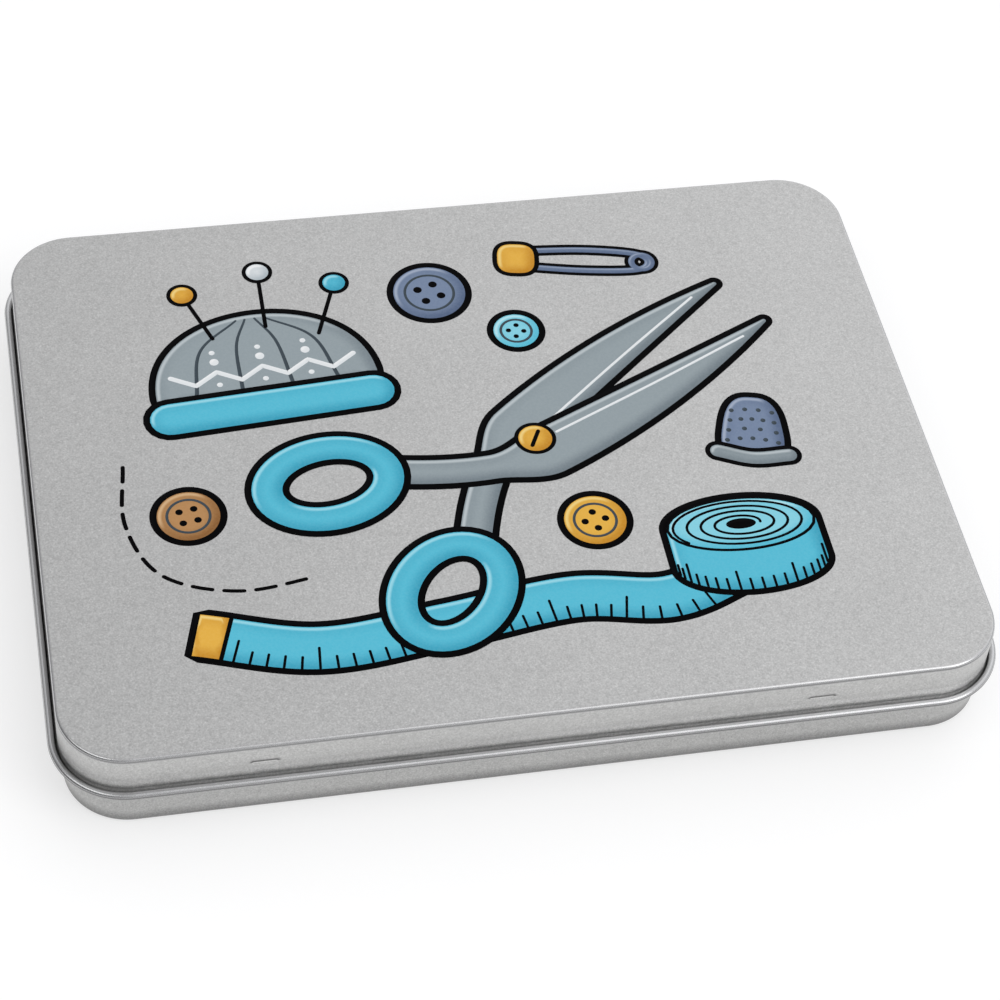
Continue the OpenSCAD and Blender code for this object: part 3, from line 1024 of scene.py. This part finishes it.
def make_floor():
    """A round white floor. Seen directly and in the metal it glows, so that it meets the white
    background, and it keeps the tin's shadow."""
    rings = np.array(FLOOR_RINGS) / MM
    turns = np.linspace(0, 2 * pi, FLOOR_SIDES, endpoint=False)
    points = np.stack([np.outer(rings, np.cos(turns)), np.outer(rings, np.sin(turns)),
                       np.zeros((len(rings), len(turns)))], axis=-1).reshape(-1, 3)
    floor = mesh_object("floor", points, grid_faces(len(rings), len(turns), True).reshape(-1, 4))
    made, tree = new_material("white_floor")
    seen = tree.node("LightPath", output="Is Camera Ray")
    mirrored = tree.node("LightPath", output="Is Glossy Ray")
    glow = tree.math("MAXIMUM", seen * FLOOR_GLOW, mirrored * FLOOR_MIRROR_GLOW)
    shader = tree.node("BsdfPrincipled", None, {
        "Base Color": (0.5, 0.5, 0.5, 1), "Roughness": 0.9, "Specular IOR Level": 0.0,
        "Emission Color": tree.node("CombineColor", None, {0: glow, 1: glow, 2: glow}),
        "Emission Strength": 1.0})
    finish_material(tree, shader)
    floor.data.materials.append(made)


def make_world():
    """A soft room, lighter to the right and to the back, darker overhead, near the horizon and
    far to the right, and plain white where the camera looks past the floor."""
    world = bpy.data.worlds.new("room")
    bpy.context.scene.world = world
    world.use_nodes = True
    world.node_tree.nodes.clear()
    tree = Wire(world.node_tree)
    seen = tree.node("LightPath", output="Is Camera Ray")
    direction = tree.node("TexCoord", output="Generated")
    right, back, up = (tree.node("SeparateXYZ", None, {0: direction}, output=axis)
                       for axis in range(3))
    level = ROOM_LIGHT + right * ROOM_SLOPE + back * ROOM_BACK - up * ROOM_FALL
    level = level * (ROOM_HORIZON + up.above(0.05, 0.4) * (1 - ROOM_HORIZON))
    level = level * (1 - right.above(0.45, 0.4) * ROOM_RIGHT_LOSS)
    level = tree.math("MAXIMUM", level, ROOM_LEAST)
    room = tree.node("CombineColor", None, {0: level, 1: level * ROOM_GREEN,
                                             2: level * ROOM_BLUE})
    light = seen.mix(room, (1, 1, 1, 1))
    tree.node("OutputWorld", None, {"Surface": tree.node("Background", None, {0: light, 1: 1.0})})


def area_light(name, place, size, watts):
    """A soft box at a place in metres, turned towards the tin."""
    light = bpy.data.lights.new(name, "AREA")
    light.shape = "RECTANGLE"
    light.size, light.size_y = size
    light.energy = watts
    lamp = bpy.data.objects.new(name, light)
    bpy.context.scene.collection.objects.link(lamp)
    lamp.location = place
    lamp.rotation_euler = (-Vector(place)).to_track_quat("-Z", "Y").to_euler()


bpy.context.scene.view_settings.view_transform = "Standard"
make_camera()
make_world()
make_floor()
for soft_box in LIGHTS:
    area_light(*soft_box)
inner_tin = tinplate("inner_tin", brightness=0.5, painted_shading_strength=0)
lid_tin = tinplate("lid_tin", brightness=0.5, painted_shading_strength=0.75)
make_lid([lid_tin, lid_tin])
# The tray's outside has a darker tone than the lid and its own inside: painted shade, for the
# wall that lies under the lid's bead
make_tray([tinplate("tray_tin", brightness=0.43, painted_shading_strength=0.67), inner_tin])
make_print()
for side in ("left", "right"):
    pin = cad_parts["hinge_pin_" + side]
    pin.material_slots[0].material = drawn_wire("hinge_wire_" + side)
